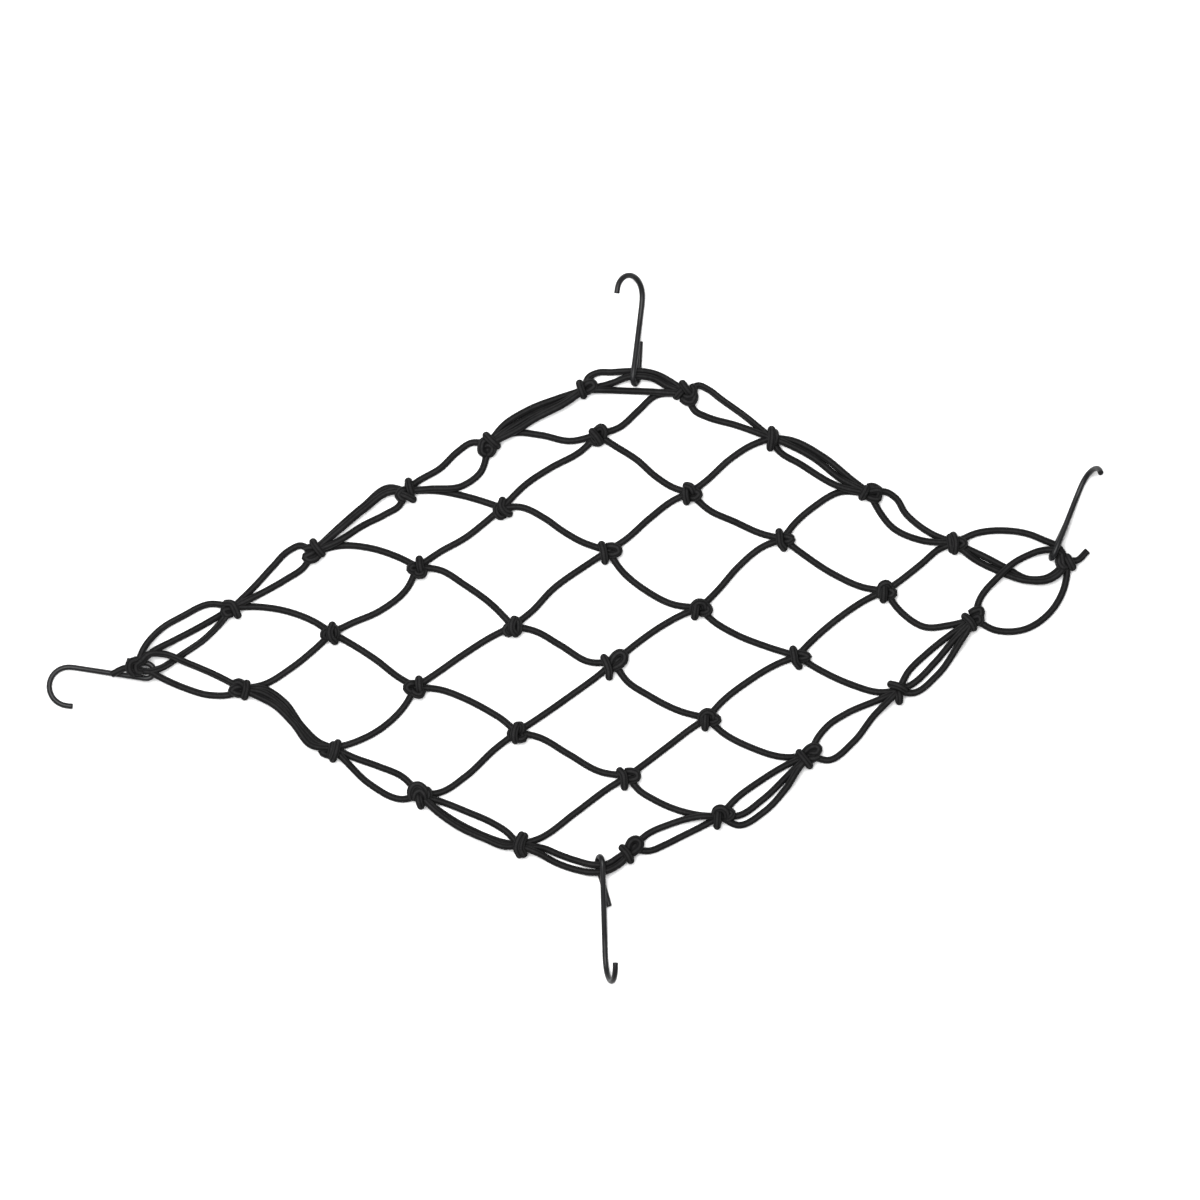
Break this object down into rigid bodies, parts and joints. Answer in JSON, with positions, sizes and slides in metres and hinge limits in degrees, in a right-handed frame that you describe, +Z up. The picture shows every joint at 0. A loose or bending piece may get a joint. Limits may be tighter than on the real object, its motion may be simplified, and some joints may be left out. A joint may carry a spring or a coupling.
{
  "type": "cargo net",
  "caption": "Elastic cord cargo net with knotted diamond openings, doubled and tripled edge strands, and coated wire hooks threaded on its sides, lying relaxed",
  "frame": {"origin": "on the surface that the net lies on, under the middle of the whole object's box", "axes": "+X along the net's long diagonal, from the left hook to the right one; +Y across it, towards the top hook; +Z up from the surface"},
  "size_m": [0.6389, 0.4297, 0.0259],
  "materials": {
    "elastic_cord": "matte braided sheath, charcoal black",
    "coated_wire": "smooth black coating, semi-gloss, with bare cut ends"
  },
  "bodies": {
    "root": {"net": "elastic_cord", "hook_top": "coated_wire", "hook_right": "coated_wire", "hook_bottom": "coated_wire", "hook_left": "coated_wire"}
  },
  "joints": []
}
